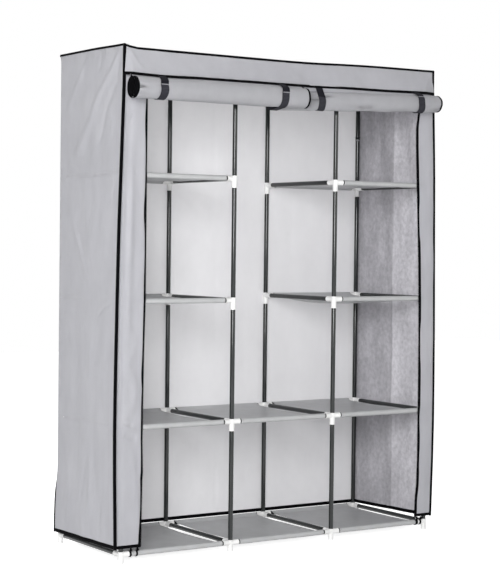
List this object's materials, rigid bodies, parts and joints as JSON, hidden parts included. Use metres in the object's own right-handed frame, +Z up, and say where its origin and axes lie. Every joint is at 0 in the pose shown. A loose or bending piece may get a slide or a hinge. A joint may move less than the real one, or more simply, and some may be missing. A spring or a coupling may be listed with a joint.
{
  "type": "portable fabric wardrobe",
  "caption": "Wide open-front fabric wardrobe on a plug-together tube frame, with cloth shelves, a hanging space and a zip cover whose doors are rolled up under the top.",
  "frame": {"origin": "on the floor, under the middle of the whole object's bounding box", "axes": "+X to the wardrobe's right as seen from the front, +Y to its back, +Z up"},
  "size_m": [1.3276, 0.5552, 1.6867],
  "materials": {
    "frame_tube": "glossy dark coat on thin steel tube",
    "cover_cloth": "light grey non-woven cloth, matt, with a fine point-bonded texture",
    "shelf_cloth": "mid grey non-woven cloth, matt",
    "strap_webbing": "dark ribbed band",
    "connector": "white moulded plastic, satin",
    "binding": "black woven edge tape",
    "zip_metal": "dark plated zip slider and pull"
  },
  "bodies": {
    "wardrobe": {"cover_back": "cover_cloth", "cover_front": "cover_cloth", "cover_left_side": "cover_cloth", "cover_right_side": "cover_cloth", "cover_roof": "cover_cloth", "hanging_rail": "frame_tube", "left_door_drop": "cover_cloth", "post_left_inner_front": "frame_tube", "post_left_inner_rear": "frame_tube", "post_left_outer_front": "frame_tube", "post_left_outer_rear": "frame_tube", "post_right_inner_front": "frame_tube", "post_right_inner_rear": "frame_tube", "post_right_outer_front": "frame_tube", "post_right_outer_rear": "frame_tube", "right_door_drop": "cover_cloth", "shelf_left_0": "shelf_cloth", "shelf_left_1": "shelf_cloth", "shelf_left_2": "shelf_cloth", "shelf_left_3": "shelf_cloth", "shelf_middle_0": "shelf_cloth", "shelf_middle_1": "shelf_cloth", "shelf_right_0": "shelf_cloth", "shelf_right_1": "shelf_cloth", "shelf_right_2": "shelf_cloth", "shelf_right_3": "shelf_cloth", "side_rail_left_inner_0": "frame_tube", "side_rail_left_inner_1": "frame_tube", "side_rail_left_inner_2": "frame_tube", "side_rail_left_inner_3": "frame_tube", "side_rail_left_outer_0": "frame_tube", "side_rail_left_outer_1": "frame_tube", "side_rail_left_outer_2": "frame_tube", "side_rail_left_outer_3": "frame_tube", "side_rail_left_outer_4": "frame_tube", "side_rail_right_inner_0": "frame_tube", "side_rail_right_inner_1": "frame_tube", "side_rail_right_inner_2": "frame_tube", "side_rail_right_inner_3": "frame_tube", "side_rail_right_outer_0": "frame_tube", "side_rail_right_outer_1": "frame_tube", "side_rail_right_outer_2": "frame_tube", "side_rail_right_outer_3": "frame_tube", "side_rail_right_outer_4": "frame_tube", "strap_left_inner": "strap_webbing", "strap_left_outer": "strap_webbing", "strap_right_inner": "strap_webbing", "strap_right_outer": "strap_webbing", "top_rail_left_front": "frame_tube", "top_rail_left_rear": "frame_tube", "top_rail_middle_front": "frame_tube", "top_rail_middle_rear": "frame_tube", "top_rail_right_front": "frame_tube", "top_rail_right_rear": "frame_tube"},
    "left_door": {"left_door_roll": "cover_cloth"},
    "right_door": {"right_door_roll": "cover_cloth"},
    "left_zip": {"left_zip_slider": "zip_metal"},
    "right_zip": {"right_zip_slider": "zip_metal"},
    "left_pull": {"left_zip_pull": "zip_metal"},
    "right_pull": {"right_zip_pull": "zip_metal"}
  },
  "joints": [
    {"name": "left_door", "type": "slide", "parent": "wardrobe", "child": "left_door", "axis": [0, 0, -1], "range_m": [0, 1.44], "deforming": ["left_door_drop", "strap_left_outer", "strap_left_inner"]},
    {"name": "right_door", "type": "slide", "parent": "wardrobe", "child": "right_door", "axis": [0, 0, -1], "range_m": [0, 1.44], "deforming": ["right_door_drop", "strap_right_inner", "strap_right_outer"]},
    {"name": "left_zip", "type": "slide", "parent": "wardrobe", "child": "left_zip", "axis": [0, 0, -1], "range_m": [0, 1.44]},
    {"name": "right_zip", "type": "slide", "parent": "wardrobe", "child": "right_zip", "axis": [0, 0, -1], "range_m": [0, 1.44]},
    {"name": "left_pull", "type": "hinge", "parent": "left_zip", "child": "left_pull", "pos_m": [-0.5608, -0.1766, 1.5826], "axis": [1, 0, 0], "range_deg": [-45, 0]},
    {"name": "right_pull", "type": "hinge", "parent": "right_zip", "child": "right_pull", "pos_m": [0.5888, -0.1766, 1.5826], "axis": [1, 0, 0], "range_deg": [-45, 0]}
  ]
}
